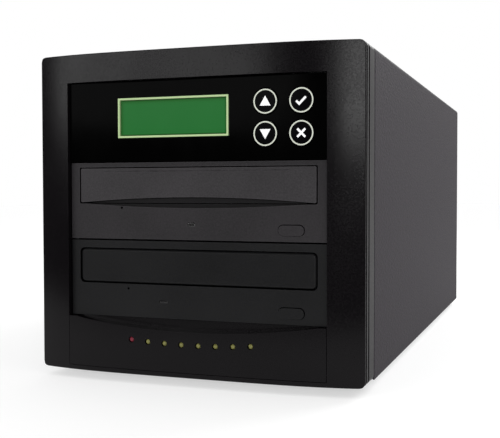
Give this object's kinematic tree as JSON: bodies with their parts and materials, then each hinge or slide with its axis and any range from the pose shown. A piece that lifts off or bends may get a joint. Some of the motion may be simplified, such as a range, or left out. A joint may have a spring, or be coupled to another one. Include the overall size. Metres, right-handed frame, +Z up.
{
  "type": "disc duplicator tower",
  "caption": "Desktop disc duplicator tower with a control panel, text display, round keys and tray-loading optical drives in a steel case.",
  "frame": {"origin": "centre of the footprint on the surface that the feet stand on", "axes": "+Y from the front to the rear panel, +X to the right of someone facing the front, +Z up"},
  "size_m": [0.187, 0.3834, 0.179],
  "materials": {
    "bezel_plastic": "fine moulded texture, black",
    "drive_plastic": "satin black",
    "tray_plastic": "satin black",
    "gloss_panel": "gloss black",
    "key_plastic": "gloss black with pale rings and signs",
    "coated_steel": "textured dark powder coat",
    "zinc_steel": "zinc plated",
    "display_frame": "pale green",
    "display_green": "lit green display",
    "board_green": "solder mask",
    "white_plastic": "moulded acetal",
    "smoked_lens": "clear smoked",
    "foot_rubber": "matt",
    "red_sleeve": "extruded sleeve",
    "black_sleeve": "extruded sleeve"
  },
  "bodies": {
    "case": {"front_bezel": "bezel_plastic", "lower_front_panel": "bezel_plastic", "status_lamp_board": "board_green", "case_cover": "coated_steel", "base_pan": "zinc_steel", "rear_panel": "zinc_steel", "bay_wall_left": "zinc_steel", "bay_wall_right": "zinc_steel", "foot_front_left": "foot_rubber", "foot_front_right": "foot_rubber", "foot_rear_left": "foot_rubber", "foot_rear_right": "foot_rubber", "cover_screw_lower_left": "zinc_steel", "cover_screw_lower_right": "zinc_steel", "cover_screw_upper_left": "zinc_steel", "cover_screw_upper_right": "zinc_steel", "control_panel": "gloss_panel", "lcd_frame": "display_frame", "lcd_screen": "display_green", "lcd_board": "board_green", "key_board": "board_green", "controller_bracket": "zinc_steel", "controller_board": "board_green", "upper_drive_shell": "zinc_steel", "upper_drive_face": "drive_plastic", "upper_drive_frame": "tray_plastic", "upper_drive_lens": "smoked_lens", "upper_drive_board": "board_green", "lower_drive_shell": "zinc_steel", "lower_drive_face": "drive_plastic", "lower_drive_frame": "tray_plastic", "lower_drive_lens": "smoked_lens", "lower_drive_board": "board_green", "power_supply_housing": "zinc_steel", "power_supply_board": "board_green", "fan_frame": "tray_plastic", "mains_inlet": "tray_plastic", "upper_data_lead": "red_sleeve", "lower_data_lead": "red_sleeve", "power_lead": "black_sleeve"},
    "upper_tray": {"upper_disc_tray": "tray_plastic", "upper_tray_door": "drive_plastic"},
    "upper_gear": {"upper_loading_gear": "white_plastic"},
    "upper_deck": {"upper_drive_deck": "zinc_steel"},
    "upper_turntable": {"upper_spindle": "zinc_steel"},
    "upper_sled": {"upper_laser_sled": "zinc_steel"},
    "upper_eject": {"upper_eject_button": "drive_plastic"},
    "lower_tray": {"lower_disc_tray": "tray_plastic", "lower_tray_door": "drive_plastic"},
    "lower_gear": {"lower_loading_gear": "white_plastic"},
    "lower_deck": {"lower_drive_deck": "zinc_steel"},
    "lower_turntable": {"lower_spindle": "zinc_steel"},
    "lower_sled": {"lower_laser_sled": "zinc_steel"},
    "lower_eject": {"lower_eject_button": "drive_plastic"},
    "up_key": {"up_button": "key_plastic"},
    "enter_key": {"enter_button": "key_plastic"},
    "down_key": {"down_button": "key_plastic"},
    "escape_key": {"escape_button": "key_plastic"},
    "fan": {"fan_rotor": "tray_plastic"},
    "mains_switch": {"switch_rocker": "tray_plastic"}
  },
  "joints": [
    {"name": "upper_tray_slide", "type": "slide", "parent": "case", "child": "upper_tray", "axis": [0, -1, 0], "range_m": [0, 0.132]},
    {"name": "upper_gear_spin", "type": "hinge", "parent": "case", "child": "upper_gear", "pos_m": [-0.036, -0.16815, 0.1], "axis": [0, 0, 1], "range_deg": [0, 760]},
    {"name": "upper_deck_lift", "type": "hinge", "parent": "case", "child": "upper_deck", "pos_m": [0, -0.04415, 0.08725], "axis": [-1, 0, 0], "range_deg": [0, 3.8]},
    {"name": "upper_spindle_spin", "type": "hinge", "parent": "upper_deck", "child": "upper_turntable", "pos_m": [0, -0.11815, 0.1], "axis": [0, 0, 1], "continuous": true},
    {"name": "upper_sled_slide", "type": "slide", "parent": "upper_deck", "child": "upper_sled", "axis": [0, 1, 0], "range_m": [0, 0.034]},
    {"name": "upper_eject_press", "type": "slide", "parent": "case", "child": "upper_eject", "axis": [0, 1, 0], "range_m": [0, 0.0012], "stiffness_N_per_m": 400},
    {"name": "lower_tray_slide", "type": "slide", "parent": "case", "child": "lower_tray", "axis": [0, -1, 0], "range_m": [0, 0.132]},
    {"name": "lower_gear_spin", "type": "hinge", "parent": "case", "child": "lower_gear", "pos_m": [-0.036, -0.16815, 0.0575], "axis": [0, 0, 1], "range_deg": [0, 760]},
    {"name": "lower_deck_lift", "type": "hinge", "parent": "case", "child": "lower_deck", "pos_m": [0, -0.04415, 0.04475], "axis": [-1, 0, 0], "range_deg": [0, 3.8]},
    {"name": "lower_spindle_spin", "type": "hinge", "parent": "lower_deck", "child": "lower_turntable", "pos_m": [0, -0.11815, 0.0575], "axis": [0, 0, 1], "continuous": true},
    {"name": "lower_sled_slide", "type": "slide", "parent": "lower_deck", "child": "lower_sled", "axis": [0, 1, 0], "range_m": [0, 0.034]},
    {"name": "lower_eject_press", "type": "slide", "parent": "case", "child": "lower_eject", "axis": [0, 1, 0], "range_m": [0, 0.0012], "stiffness_N_per_m": 400},
    {"name": "up_key_press", "type": "slide", "parent": "case", "child": "up_key", "axis": [0, 1, 0], "range_m": [0, 0.0007], "stiffness_N_per_m": 600},
    {"name": "enter_key_press", "type": "slide", "parent": "case", "child": "enter_key", "axis": [0, 1, 0], "range_m": [0, 0.0007], "stiffness_N_per_m": 600},
    {"name": "down_key_press", "type": "slide", "parent": "case", "child": "down_key", "axis": [0, 1, 0], "range_m": [0, 0.0007], "stiffness_N_per_m": 600},
    {"name": "escape_key_press", "type": "slide", "parent": "case", "child": "escape_key", "axis": [0, 1, 0], "range_m": [0, 0.0007], "stiffness_N_per_m": 600},
    {"name": "fan_spin", "type": "hinge", "parent": "case", "child": "fan", "pos_m": [-0.033, 0.17, 0.0493], "axis": [0, 1, 0], "continuous": true},
    {"name": "switch_rock", "type": "hinge", "parent": "case", "child": "mains_switch", "pos_m": [0.048, 0.18705, 0.0388], "axis": [-1, 0, 0], "range_deg": [0, 14.8]}
  ],
  "couplings": [
    {"joint": "upper_gear_spin", "follows": "upper_tray_slide", "rad_per_m": 100},
    {"joint": "lower_gear_spin", "follows": "lower_tray_slide", "rad_per_m": 100}
  ]
}
